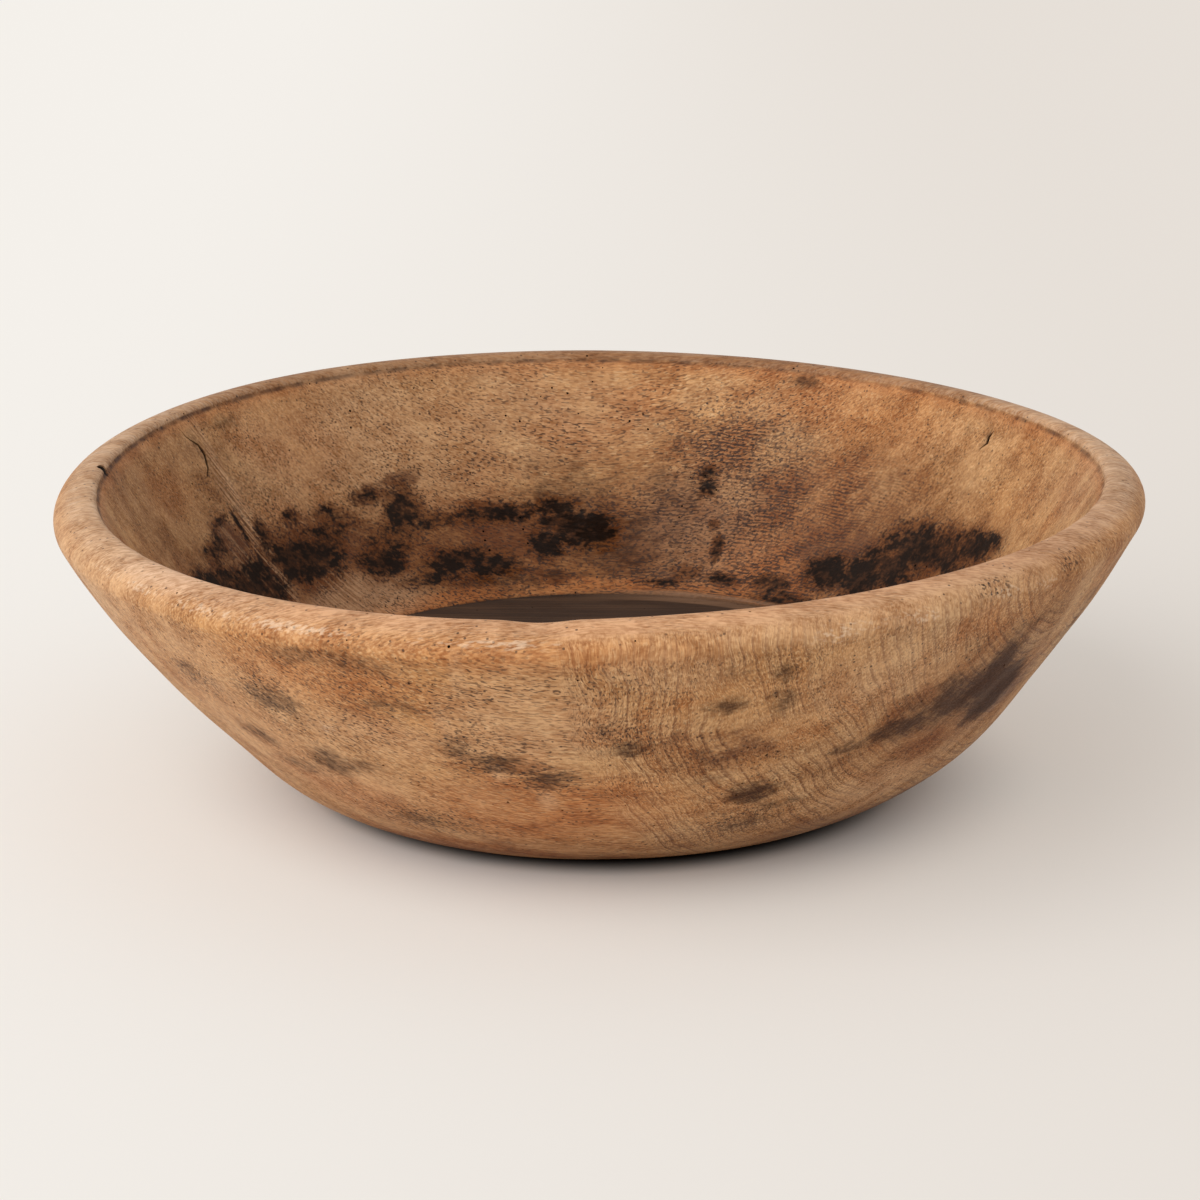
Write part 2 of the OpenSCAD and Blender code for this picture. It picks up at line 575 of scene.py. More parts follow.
turned_at = surface(bowl.data)
turned_r = np.hypot(turned_at[:, 0], turned_at[:, 1])
angle = np.degrees(np.arctan2(turned_at[:, 1], turned_at[:, 0])) % 360
out_x, out_y = np.cos(np.radians(angle)), np.sin(np.radians(angle))
reach_at, deep, out_r, out_z = nearest_on_outline(turned_r, turned_at[:, 2])
print("deepest cut, mm:", round(deep.max(), 1))

# %% [markdown]
# Smooth noise is a rule too. Each point asks for a value between 0 and 1 at its
# own place, and neighbours get nearly the same answer. Everything that wear
# does only takes wood away, so the worn bowl stays inside the turned one. The
# low waves are listed by their spacing and their depth in mm, and the flat and
# the dip by how deep they are.

# %% Wear
def bump(value, centre, half):
    """1 at the centre, falling smoothly to 0 at a distance of half."""
    share = np.clip(np.abs(value - centre) / half, 0, 1)
    return (1 - share ** 2) ** 2


def fade(value, start, end):
    """0 at the start, 1 at the end, smoothly."""
    share = np.clip((value - start) / (end - start), 0, 1)
    return share * share * (3 - 2 * share)


def round_rim(start, full, ending, end):
    """0 up to the start angle, 1 between the next two, and 0 again from the end, in degrees."""
    return fade(angle, start, full) * (1 - fade(angle, ending, end))


def waves(spacing, seed):
    """Smooth noise from 0 to 1, with bumps about as far apart as the spacing in mm."""
    shift = Vector((seed * 17.3, seed * 5.1, seed * 9.7))
    return np.array([0.5 + 0.5 * noise.noise(Vector(place) / spacing + shift) for place in turned_at])


WAVES = ((70, 0.45), (24, 0.15))
EDGE_NIBBLED = 0.7
FLAT_DEEP = 0.9
DIP_DEEP = 1.5

# The levelled floor has no waves, and on the smooth rim they are half as deep
sides = 1 - fade(reach_at, floor_reach - 4, floor_reach)
off_rim = 0.5 + 0.5 * fade(np.abs(reach_at + 8), 10, 25)
wavy = sum(deep_mm * waves(spacing, seed) for seed, (spacing, deep_mm) in enumerate(WAVES, 1))
wear = wavy * sides * off_rim
wear += EDGE_NIBBLED * waves(8, 3) * bump(reach_at, 0, 3.5)
# The flat reaches 16 mm out from the inner edge, and 21 mm at its right end
flat_end = 16 + 5 * fade(angle, 320, 335)
flat_share = np.clip(-reach_at / flat_end, 0, 1)
wear += FLAT_DEEP * round_rim(278, 292, 334, 344) * 4 * flat_share * (1 - flat_share)
wear += DIP_DEEP * bump(angle, 264, 4.5) * bump(reach_at, -9, 14)
print("wear, mm:", round(wear.min(), 2), "to", round(wear.max(), 2))

# %% [markdown]
# The drying comes last. The lift follows the sine of twice the angle, which is
# high at two opposite places and low between them, and two more peaks are added
# at the back: angle, half width in degrees, millimetres. The flanks follow a
# short table: a height in mm, and how far the left and the right flank stand out
# there. Each row works over 38 mm up and down, so neighbours blend. The floor
# was levelled after the bowl had dried, so it stays level, and the foot comes
# out level on the bench.

# %% Drying
RIM_LIFT = 2.6
RIM_PEAKS = ((150, 50, 0.9), (80, 70, 0.45))
RIM_CREEP = -0.7
FLANK_REACH = 38
ON_FOOT = 0.02
FLANKS = (
    (0, 2.6, 1.3),
    (20, 0.7, 3.9),
    (42, -3.2, 0.9),
    (64, 1.2, -0.8),
    (86, -1.8, -0.6),
    (106, 3.5, 0),
    (122, -2.3, -2.3),
)

x = turned_at[:, 0] - wear * out_r * out_x
y = turned_at[:, 1] - wear * out_r * out_y
z = turned_at[:, 2] - wear * out_z
leans = (reach_at < floor_reach - 0.01).astype(float)
height = np.clip(z / CREST_Z, 0, 1)
outside = fade(-reach_at, 0, 16)
swell = np.zeros(len(angle))
for at_height, left_out, right_out in FLANKS:
    stands_out = left_out * np.clip(-out_x, 0, 1) + right_out * np.clip(out_x, 0, 1)
    swell += bump(z, at_height, FLANK_REACH) * stands_out
x += swell * outside * out_x + RIM_CREEP * (1 - outside)
y += swell * outside * out_y
lift = -RIM_LIFT * np.sin(np.radians(2 * angle))
for at_angle, half_turn, peak in RIM_PEAKS:
    lift += peak * bump(angle, at_angle, half_turn)
z += lift * height * leans
slope = RIM_SLOPE * leans
dried = np.stack([x * np.cos(slope) - z * np.sin(slope), y, x * np.sin(slope) + z * np.cos(slope)], axis=1)
foot_gap = turned_at[:, 0] * math.sin(RIM_SLOPE) + turned_at[:, 2] * math.cos(RIM_SLOPE)
dried[np.abs(foot_gap) < ON_FOOT, 2] = 0
bowl.data.vertices.foreach_set("co", (dried * MM).astype(np.float32).ravel())
bowl.data.update()
print("dried bowl, mm:", dried.min(axis=0).round(1), dried.max(axis=0).round(1))

# %% [markdown]
# ## Where the stains are
#
# The stains are what makes this bowl this bowl, and each one has its place. So
# they are written down one by one, by kind, as one would note them on a sketch:
# the angle in degrees, then the reach, half the length round the bowl and half
# the height up the wall, all in mm, and how strong the stain is. The back of
# the outside and the front of the hollow don't show in the photograph, so the
# rows that end four of the lists are guesses, in the manner of the rest.
#
# Every point of the mesh gets one number for each kind, highest in the middle
# of a stain. The points lie 2 to 3 mm apart, which is too coarse for a crisp
# edge. The edge comes later, where the material breaks each number with the
# wood's own fine pattern.

# %% Scorched places
# Black: a broken row low in the hollow, and a few small spots above it
CHARRED = (
    (17, 56, 9, 5, 0.8),
    (21, 61, 14, 8, 1),
    (27, 68, 20, 10, 1),
    (33, 72, 20, 12, 1),
    (37, 83, 16, 10, 1),
    (41, 93, 13, 11, 1),
    (48.5, 94, 12, 9, 1),
    (58.8, 104, 9, 4, 1),
    (53.8, 112, 14, 4, 0.9),
    (90, 86, 6, 5, 1),
    (93, 84, 14, 9, 1),
    (97, 80, 11, 10, 0.9),
    (99.5, 90, 8, 8, 0.8),
    (97.4, 72, 11, 4, 0.8),
    (104, 74, 12, 4, 0.8),
    (109, 73, 14, 5, 0.8),
    (110, 99, 12, 6, 0.8),
    (115.5, 94, 16, 6, 0.9),
    (120.8, 101, 14, 4, 0.8),
    (117.7, 74, 12, 4, 0.8),
    (122.4, 67, 9, 11, 0.95),
    (126, 80, 14, 7, 0.7),
    (128, 58, 8, 4, 0.8),
    (129.6, 88, 12, 8, 0.9),
    (135, 66, 14, 6, 0.6),
    (139, 74, 12, 9, 0.9),
    (142.5, 79, 16, 12, 1),
    (147, 76, 14, 11, 1),
    (149.6, 62, 4, 7, 0.9),
    (142.7, 57, 6, 3, 0.8),
    (136, 60, 8, 3, 0.7),
    (154, 80, 14, 10, 0.85),
    (160, 78, 22, 10, 1),
    (158, 86, 16, 8, 1),
    (166, 70, 16, 7, 0.9),
    (171, 62, 10, 5, 0.7),
    (155.5, 46, 3, 2, 0.9),
    (157, 47.5, 7, 1.6, 0.8),
    (153.4, 54, 1.6, 9, 0.8),
    (159.8, 56, 1.8, 8, 0.8),
    (162.4, 57, 10, 5, 0.8),
    (74, 55, 4.5, 4.5, 0.6),
    (73.4, 62, 3.5, 4, 0.6),
    (70.3, 91, 2.6, 6, 0.8),
    (71.6, 79, 2.5, 2.5, 1),
    (79, 110, 12, 2, 0.7),
    (68, 106, 7, 3, 0.7),
    (75, 103, 6, 3, 0.6),
    (3, 62, 12, 5, 0.7),
    (350, 76, 18, 8, 0.9),
    (331, 84, 20, 9, 0.9),
    (312, 74, 16, 7, 0.7),
    (296, 88, 26, 8, 0.9),
    (276, 80, 14, 6, 0.7),
    (256, 86, 24, 9, 0.9),
    (236, 92, 16, 6, 0.8),
    (216, 80, 20, 8, 0.8),
    (196, 88, 22, 9, 0.9),
)
# Rust brown: the edges of old scorching
RUSTED = (
    (43.8, 77, 10, 6, 1),
    (52.5, 86, 13, 6, 1),
    (45, 83, 18, 12, 0.6),
    (107, 86, 34, 18, 0.8),
    (121, 52, 10, 4, 1),
    (126, 54, 10, 4, 0.8),
    (133, 80, 18, 14, 0.8),
    (140, 64, 16, 7, 0.7),
    (157, 56, 9, 9, 1.5),
    (165, 66, 20, 9, 0.7),
    (277, -72, 14, 7, 0.6),
    (284, -84, 20, 13, 0.6),
    (300, -92, 14, 7, 0.6),
    (326, -88, 22, 16, 0.8),
    (325, -156, 14, 8, 0.8),
    (304, -152, 10, 4, 0.7),
    (312, -164, 16, 5, 0.7),
)
print("scorched places:", len(CHARRED) + len(RUSTED))

# %% Dark places
# Dark brown clouds inside, and soiled patches outside
SMOKED = (
    (78, 62, 22, 26, 0.5),
    (84, 92, 40, 26, 0.45),
    (88, 92, 26, 20, 0.85),
    (95, 70, 34, 22, 0.65),
    (106, 108, 30, 8, 0.9),
    (62.5, 5, 10, 4, 0.9),
    (34.7, 12, 5, 4, 0.6),
    (33, 3, 5, 4, 0.5),
    (146, 8, 8, 5, 0.7),
    (175, 3, 8, 5, 0.7),
    (152, 50, 5, 46, 0.4),
    (153, 16, 2.4, 13, 0.6),
    (31, 14, 2, 7, 0.7),
    (220.6, -60, 12, 8, 0.6),
    (233, -62, 14, 10, 0.7),
    (235.6, -100, 13, 11, 0.9),
    (241, -97, 10, 7, 0.7),
    (225, -94, 12, 9, 0.7),
    (229, -110, 20, 7, 0.6),
    (243, -139, 16, 6, 0.7),
    (247.5, -54, 14, 7, 0.6),
    (244, -31, 40, 7, 0.6),
    (258, -86, 16, 7, 0.8),
    (254, -80, 9, 10, 0.6),
    (263.8, -97, 12, 8, 0.8),
    (282.4, -56, 9, 6, 0.9),
    (287.7, -40, 6, 6, 1),
    (283, -38, 10, 5, 0.7),
    (288, -57, 7, 8, 0.8),
    (288.3, -114, 11, 9, 1.1),
    (293, -126, 10, 5, 0.8),
    (288.3, -140, 12, 8, 0.7),
    (282.4, -101, 10, 4, 0.6),
    (299, -94, 9, 4, 1),
    (306.5, -89, 22, 8, 1.1),
    (312, -80, 18, 11, 1.1),
    (318, -65, 11, 14, 1.3),
    (322, -86, 14, 18, 1.5),
    (321, -80, 7, 10, 1.9),
    (316, -78, 32, 19, 1.05),
    (308, -78, 20, 10, 0.6),
    (319.9, -47, 10, 7, 0.7),
    (272.7, -77, 9, 6, 1),
    (271, -66, 10, 7, 0.6),
    (335, -60, 14, 30, 0.5),
    (354, -124, 22, 15, 1.3),
    (349, -138, 22, 13, 1.2),
    (196, -120, 20, 24, 0.4),
    (24, -112, 20, 10, 0.8),
    (47, -58, 16, 9, 0.8),
    (68, -98, 14, 9, 0.7),
    (92, -48, 20, 8, 0.7),
    (117, -88, 22, 11, 0.8),
    (141, -56, 12, 8, 0.7),
    (158, -118, 20, 9, 0.8),
)
# Wide and soft: what oil and handling darken, and painted shade on the inner left wall and low on the
# outside near the foot
SHADED = (
    (135, 92, 110, 24, 0.9),
    (80, 84, 50, 40, 0.6),
    (66, 60, 30, 40, 0.5),
    (86, 100, 30, 22, 0.5),
    (18, 52, 20, 14, 0.5),
    (44, 42, 60, 24, 0.6),
    (60, 50, 30, 30, 0.6),
    (35, 80, 70, 30, 0.9),
    (156, 34, 34, 60, 0.6),
    (172, 40, 40, 60, 0.6),
    (68, 38, 24, 18, 0.35),
    (282, -50, 24, 20, 0.25),
    (283, -80, 26, 24, 0.5),
    (316, -82, 50, 36, 1),
    (302, -98, 34, 16, 0.6),
    (324, -40, 20, 30, 0.4),
    (313, -168, 60, 18, 0.7),
    (250, -176, 80, 14, 0.6),
    (246, -50, 40, 24, 0.25),
    (234, -104, 44, 14, 0.2),
    (270, 88, 300, 30, 0.7),
    (110, -96, 140, 30, 0.4),
)
print("dark places:", len(SMOKED) + len(SHADED))

# %% Pale and polished places
# Scoured pale
BLEACHED = (
    (138, 105, 34, 12, 1),
    (150, 60, 8, 30, 0.5),
    (220, -45, 24, 14, 0.6),
    (232, -78, 16, 10, 0.7),
    (222, -40, 30, 16, 0.8),
    (226, -66, 24, 12, 0.7),
    (262, -58, 30, 28, 0.9),
    (256.5, -38, 3, 14, 1),
    (253.5, -62, 3, 14, 1),
    (258, -92, 4, 8, 0.8),
    (263, -112, 4, 8, 0.8),
    (300, -50, 34, 22, 0.6),
    (310, -130, 24, 14, 0.8),
    (5, 20, 40, 20, 0.3),
    (116, 34, 60, 34, 0.7),
    (104, 24, 70, 26, 0.7),
    (123, 30, 40, 34, 0.9),
    (140, 30, 24, 30, 0.6),
    (2, 14, 30, 16, 0.6),
    (228, -86, 60, 46, 0.6),
    (200, -34, 70, 36, 0.9),
    (188, -70, 60, 60, 0.9),
    (276, -34, 24, 12, 0.6),
    (300, -20, 80, 9, 0.8),
    (242, -76, 40, 15, 0.8),
    (256, -74, 14, 12, 0.7),
    (212, -30, 30, 12, 0.9),
    (74, 80, 30, 34, 0.4),
    (151, 52, 2.5, 44, 0.9),
)
# Orange, where the wood is polished
GLOWING = (
    (240, -40, 40, 20, 0.8),
    (262, -26, 70, 7, 0.7),
    (262, -118, 46, 26, 0.9),
    (236, -126, 30, 18, 0.7),
    (310, -34, 20, 9, 0.5),
    (100, 112, 60, 4, 1.5),
    (126, 113, 30, 4, 1.4),
    (74, 112, 40, 3, 1.3),
    (52, 14, 70, 16, 0.5),
    (58, 70, 34, 30, 0.35),
    (20, 10, 50, 14, 0.3),
    (165, 25, 20, 14, 0.4),
    (136, 24, 30, 20, 0.4),
    (60, 98, 30, 20, 0.9),
)
print("pale and polished places:", len(BLEACHED) + len(GLOWING))

# %% Places with marks of their own
# Open, pitted grain
PITTED = (
    (84, 88, 40, 28, 0.9),
    (70, 40, 34, 22, 1),
    (66, 74, 34, 34, 0.8),
    (105, 56, 46, 22, 0.35),
    (112, 108, 50, 10, 1),
    (150, 60, 30, 30, 0.6),
    (323, -21, 7, 4, 1),
    (310.5, -19, 10, 4, 1),
    (222, -62, 14, 10, 0.7),
    (233, -60, 16, 14, 0.8),
    (256, -78, 14, 24, 0.7),
    (271, -67, 14, 12, 0.6),
    (246, -46, 40, 20, 0.5),
    (263, -98, 18, 12, 0.7),
    (288, -138, 16, 12, 0.8),
    (243, -139, 24, 12, 0.8),
    (60, -76, 50, 34, 0.6),
    (128, -72, 40, 30, 0.6),
)
# Scrapes that run up the wall
STREAKED = (
    (151.5, 54, 5, 50, 0.9),
    (157, 70, 12, 26, 0.5),
    (140, 96, 16, 12, 0.5),
    (128, 30, 40, 30, 0.3),
)
# Fine rows of tool marks round the wall
COMBED = (
    (56, 92, 34, 24, 1.2),
    (62, 62, 26, 30, 1.1),
    (50, 62, 24, 24, 0.8),
    (70, 38, 24, 14, 0.9),
    (44, 50, 18, 14, 0.6),
    (66, 108, 40, 8, 1.2),
    (78, 74, 16, 20, 0.6),
)
# Outside, where a thin layer has chipped off
CHIPPED = (
    (239, -75, 6, 5, 1),
    (231, -75, 6, 5, 1),
    (220, -28, 8, 5, 1),
    (236, -88, 8, 5, 0.8),
)
print("marked places:", len(PITTED) + len(STREAKED) + len(COMBED) + len(CHIPPED))


# %% Numbers on every point
def stained(spots):
    """How much of these stains each point has: the strongest one counts."""
    amount = np.full(len(angle), -1.0)
    for at_angle, at_reach, half_round, half_up, strength in spots:
        around = np.radians((angle - at_angle + 180) % 360 - 180) * turned_r
        away = (around / half_round) ** 2 + ((reach_at - at_reach) / half_up) ** 2
        amount = np.maximum(amount, strength * (1 - away / 2))
    return amount


# Scuffs along the outer roll of the front rim, with a painted highlight
left_scuff_highlight = round_rim(190, 212, 262, 272) * bump(reach_at, -19.5, 5)
right_scuff_highlight = round_rim(282, 292, 334, 346) * bump(reach_at, -24, 9)
marks = {
    "reach": reach_at,
    "deep": deep,
    "charred": stained(CHARRED),
    "rusted": stained(RUSTED),
    "smoked": stained(SMOKED),
    "shaded": stained(SHADED),
    "bleached": stained(BLEACHED),
    "glowing": stained(GLOWING),
    "pitted": stained(PITTED),
    "streaked": stained(STREAKED),
    "combed": stained(COMBED),
    "scuffs_and_highlight": np.maximum(left_scuff_highlight, np.maximum(0.8 * right_scuff_highlight, 0.7 * stained(CHIPPED))),
}
for name, amount in marks.items():
    bowl.data.attributes.new(name, "FLOAT", "POINT").data.foreach_set("value", amount.astype(np.float32))
print("kinds of marks on each point:", len(marks))

# %% [markdown]
# ## The wood
#
# Old, oiled hardwood, turned, scraped and worn. To the eye it is warm brown,
# with thousands of short dark pores that all lie along the trunk, and growth
# rings where the front was cut across a branch. Hands and dough have polished
# it unevenly, so its gloss varies.
#
# The trunk lay along X. So every pattern is stretched along X and squeezed
# along Y, and because the pattern fills space, it turns by itself from lines
# on the front wall to streaks down the ends, as on any turned bowl.

# %% Colours
def linear(shade):
    """A hex colour as linear red, green, blue and alpha."""
    parts = [int(shade[k : k + 2], 16) / 255 for k in (0, 2, 4)]
    return tuple(c / 12.92 if c <= 0.04045 else ((c + 0.055) / 1.055) ** 2.4 for c in parts) + (1,)


WOOD = linear("CB955E")
WOOD_PALE = linear("E2BC8C")
WOOD_ORANGE = linear("BF7841")
WOOD_BROWN = linear("80502C")
DARKER = linear("B99F80")
PORE = linear("38241A")
CHAR = linear("150E0A")
EMBER = linear("4A2E1D")
RUST = linear("6F4222")
SMOKE = linear("4A2C18")
BLEACH = linear("D9AF86")
FLOOR_DARK = linear("2A1C14")
FLOOR_LIGHT = linear("5E432F")
LEDGE = linear("7C5C44")
RIM = linear("CDAE92")
# Polish and painted highlight on the front rim: palest at the left, where the sun falls
RIM_LEFT_HIGHLIGHT = linear("EFC5A2")
RIM_FRONT = linear("E2A878")
RIM_RIGHT = linear("CA9468")
EDGE = linear("4C2A16")
# Pale scuffs and painted highlight
SCUFF_HIGHLIGHT = linear("F0D3B4")
BORE_SHADE = linear("140D09")

wood.use_nodes = True
tree = wood.node_tree
tree.nodes.clear()
place = add(tree, "ShaderNodeTexCoord").outputs["Object"]
mm = add(tree, VECTOR_MATH, {0: place, "Scale": 1 / MM}, operation="SCALE").outputs["Vector"]
marked = {name: add(tree, "ShaderNodeAttribute", attribute_name=name).outputs["Fac"] for name in marks}
print("numbers that the wood reads:", ", ".join(marked))

# %% [markdown]
# A few small recipes do nearly all the work. `grain` is noise with bumps of a
# given size in mm along each axis. `between` turns a value into a soft step,
# and `reaching` does that with the reach. `sums` adds up shares of several
# values, `times` multiplies them, and `mixed` goes from one to another. `coat`
# lays a colour over another. `darken` makes a colour darker instead, as oil and
# smoke soak it, and it also paints shade: blue goes first and red last, so dark
# wood keeps its warmth.

# %% Recipes
def between(value, start, end):
    """A soft step from 0 at the start to 1 at the end."""
    return add(
        tree,
        "ShaderNodeMapRange",
        {"Value": value, "From Min": start, "From Max": end},
        interpolation_type="SMOOTHSTEP",
    ).outputs["Result"]


def grain(size, seed, low=0.35, high=0.65, detail=2.0, at=mm):
    """Noise with bumps of this size in mm along x, y and z: 0 below its low level, 1 above its high."""
    scaled = add(tree, VECTOR_MATH, {0: at, 1: size}, operation="DIVIDE")
    moved = add(tree, VECTOR_MATH, {0: scaled, 1: (seed, seed * 3, seed * 7)})
    pattern = add(tree, "ShaderNodeTexNoise", {"Vector": moved, "Scale": 1.0, "Detail": detail})
    return between(pattern.outputs["Fac"], low, high)


def reaching(start, end):
    """A soft step along the reach, from 0 at the start to 1 at the end, in mm."""
    return between(marked["reach"], start, end)


def sums(*terms):
    """The sum of each value times its share."""
    total = 0.0
    for value, share in terms:
        total = add(tree, MATH, {0: value, 1: share, 2: total}, operation="MULTIPLY_ADD").outputs["Value"]
    return total


def times(*values):
    """All values multiplied."""
    total = values[0]
    for value in values[1:]:
        total = add(tree, MATH, {0: total, 1: value}, operation="MULTIPLY").outputs["Value"]
    return total


def mixed(under, over, amount):
    """From one value to another, by this amount."""
    made = add(tree, "ShaderNodeMix", {0: amount, "A": under, "B": over}, data_type="FLOAT")
    return made.outputs["Result"]


def coat(under, over, amount, share=1.0, blend="MIX"):
    """One colour over another, by this amount."""
    return add(
        tree,
        "ShaderNodeMix",
        {0: times(amount, share), "A": under, "B": over},
        data_type="RGBA",
        blend_type=blend,
    ).outputs["Result"]


def darken(under, amount, share=1.0):
    """A colour made darker by this amount, for soaked oil and smoke, and for painted shade."""
    return coat(under, DARKER, amount, share, "MULTIPLY")


# %% [markdown]
# The rings lie round the heart of a branch, at the right end of the rim. A
# place's distance from that heart, in the upright plane of X and Z, is cut into
# equal steps, and a dark line is drawn at each step. A slow noise bends them.
# Finer rings lie between them and wider ones over them, each drawn with its own
# count. The pores there lie along the rings, so they get their own way of
# measuring: along the ring, through the wall, and across the rings.

# %% Growth rings
HEART = (200, 0, 130)
RING = 4.6
FINE_RINGS = 2.3
WIDE_RINGS = 0.31
MM_PER_RADIAN = 150

from_heart = add(tree, VECTOR_MATH, {0: mm, 1: HEART}, operation="SUBTRACT")
part = add(tree, "ShaderNodeSeparateXYZ", {"Vector": from_heart}).outputs
flat = add(tree, VECTOR_MATH, {0: from_heart, 1: (1, 0, 1)}, operation="MULTIPLY")
ring_r = add(tree, VECTOR_MATH, {0: flat}, operation="LENGTH").outputs["Value"]
ring_turn = add(tree, MATH, {0: part["Z"], 1: part["X"]}, operation="ARCTAN2").outputs["Value"]
ring_turn = add(tree, MATH, {0: ring_turn}, operation="ABSOLUTE").outputs["Value"]
bend = sums((grain((60, 60, 60), 13, 0.2, 0.8), 9), (grain((14, 14, 14), 15, 0.2, 0.8), 1.4))
ring_r = sums((ring_r, 1), (bend, 1))
ring_places = {"X": times(ring_turn, MM_PER_RADIAN), "Y": part["Y"], "Z": ring_r}
ring_way = add(tree, "ShaderNodeCombineXYZ", ring_places).outputs["Vector"]


def across_ring(count):
    """How far across its ring a place lies, from 0 to 1, with this many rings for each main one."""
    return add(tree, MATH, {0: times(ring_r, count / RING)}, operation="FRACT").outputs["Value"]


step = across_ring(1)
fine_step = across_ring(FINE_RINGS)
ring_line = times(between(step, 0.62, 0.94), between(step, 1.0, 0.95))
fine_line = times(between(fine_step, 0.5, 0.9), between(fine_step, 1.0, 0.92))
axes = add(tree, "ShaderNodeSeparateXYZ", {"Vector": mm}).outputs
facing_front = between(axes["Y"], 30, -30)
ringed = times(reaching(-13, -20), facing_front, between(ring_r, 226, 214), between(ring_r, 24, 50))
ring_strength = times(ringed, grain((34, 34, 34), 17, 0.3, 0.6))
ring_dark = times(ring_strength, ring_line)
print("nodes so far:", len(tree.nodes))

# %% [markdown]
# Fibres, streaks and pores are all the same noise at different sizes: long and
# thin for a fibre, short and thin for a pore. The finest are drawn about twice
# as coarse as real pores, or they would not show at all. The pinholes, many
# more than could well be cut, are the middles of Voronoi cells, gathered by a
# slower noise.

# %% Bare wood
PINHOLE_APART = 3.4
PINHOLE_R = 0.65


def fibre(size, seed, low=0.35, high=0.65, detail=2.0):
    """Grain that lies along the trunk, and along the rings where the wood is ringed."""
    long, thin, wide = size
    plain = grain((long, thin, wide), seed, low, high, detail)
    round_heart = grain((long, wide, thin), seed, low, high, detail, at=ring_way)
    return mixed(plain, round_heart, ringed)


broad = grain((90, 60, 60), 3)
patchy = grain((34, 14, 20), 7, detail=3.0)
mottle = grain((12, 6, 7), 8, 0.32, 0.68, 2.0)
streaks = grain((70, 1.5, 16), 11)
fibres = fibre((5, 0.6, 1.2), 5, 0.36, 0.64, 2.0)
uneven = grain((2.6, 1.5, 1.7), 6, 0.35, 0.65)
dashes = fibre((2.4, 0.55, 0.9), 2, 0.58, 0.7, 0.0)
specks = grain((1.5, 1.2, 1.2), 9, 0.58, 0.68, 0.0)
flecks = fibre((3.0, 0.6, 0.9), 23, 0.58, 0.70, 0.0)
cells = add(tree, "ShaderNodeTexVoronoi", {"Vector": mm, "Scale": 1 / PINHOLE_APART})
gathered = sums((grain((20, 14, 14), 29, 0.4, 0.6), 1.0), (between(marked["pitted"], 0.2, 0.9), 0.6))
pinholes = times(between(times(cells.outputs["Distance"], PINHOLE_APART), PINHOLE_R, 0.4), gathered)

colour = coat(WOOD, WOOD_PALE, broad, 0.35)
colour = coat(colour, WOOD_ORANGE, times(patchy, grain((120, 70, 50), 21)), 0.6)
colour = coat(colour, WOOD_BROWN, grain((26, 12, 14), 27, 0.5, 0.75, 3.0), 0.28)
colour = coat(colour, WOOD_BROWN, streaks, 0.2)
colour = coat(colour, WOOD_PALE, times(ring_strength, between(across_ring(WIDE_RINGS), 0.1, 0.6)), 0.3)
colour = coat(colour, WOOD_BROWN, ring_dark, 0.75)
colour = coat(colour, WOOD_BROWN, times(ring_strength, fine_line), 0.4)
colour = coat(colour, WOOD_PALE, flecks, 0.45)
print("nodes so far:", len(tree.nodes))

# %% [markdown]
# Now the worn places, each a band of reach. The inside has soaked up the most
# oil, and it is darker towards the floor, partly by oil and partly as painted
# shade in the hollow. The outside is painted darker towards the foot, as shade
# under the belly, and the wide, soft places are partly oil and handling and
# partly painted shade. The floor is nearly black, with long streaks along the
# trunk, and at the right a paler ledge lies along its edge.

# %% Inside, foot and floor
inside = reaching(-0.5, 1.5)
blotches = grain((16, 16, 9), 91, 0.35, 0.7, 3.0)
# Soaked-up oil, and painted shade that deepens towards the floor of the hollow
colour = darken(colour, sums((reaching(30, 90), 0.75), (times(inside, blotches), 0.3)))
# Painted shade: darker towards the foot, under the belly
colour = darken(colour, reaching(-115, -185), 0.4)
# The wide, soft places: oil and handling, and painted shade
colour = darken(colour, times(between(marked["shaded"], 0.1, 0.9), sums((patchy, 0.4), (1.0, 0.6))), 0.9)
floor_streak = grain((70, 2.6, 10), 41, 0.36, 0.7, 3.0)
floor_colour = coat(FLOOR_DARK, FLOOR_LIGHT, sums((floor_streak, 0.6), (fibres, 0.15), (patchy, 0.2)), 0.6)
in_floor = reaching(floor_reach - 1.0, floor_reach - 0.2)
on_ledge = times(reaching(floor_reach - 4, floor_reach - 2), between(axes["X"], -20, 40))
on_ledge = times(on_ledge, reaching(floor_reach + 8, floor_reach + 6))
print("nodes so far:", len(tree.nodes))

# %% [markdown]
# The rim is pale and smooth, and painted darker at the back, as painted shade.
# Hands have polished it at the front, and a painted highlight lies over the
# polish: it is pale at the left, where the sun falls, orange in the middle and
# browner at the right. Grease has left a dark line where its inner edge meets
# the hollow.

# %% Rim
rim_top = reaching(0.5, -1.0)
on_rim = times(rim_top, reaching(-20, -13))
on_edge = times(reaching(2.6, 0.8), reaching(-0.8, 0.2))
rim_streak = grain((16, 0.9, 8), 51, 0.3, 0.7, 3.0)
colour = coat(colour, coat(RIM, WOOD, rim_streak, 0.6), on_rim, 0.85)
# Polish and painted highlight on the front rim, palest at the left
rim_front_highlight = coat(RIM_LEFT_HIGHLIGHT, RIM_FRONT, between(axes["X"], -190, -100))
rim_front_highlight = coat(rim_front_highlight, RIM_RIGHT, between(axes["X"], 40, 150))
polish_and_highlight = times(rim_top, reaching(-27, -10), between(axes["Y"], -20, -150))
polish_and_highlight = times(polish_and_highlight, sums((rim_streak, -0.4), (patchy, -0.2), (1.0, 1.1)))
colour = coat(colour, rim_front_highlight, polish_and_highlight, 0.8)
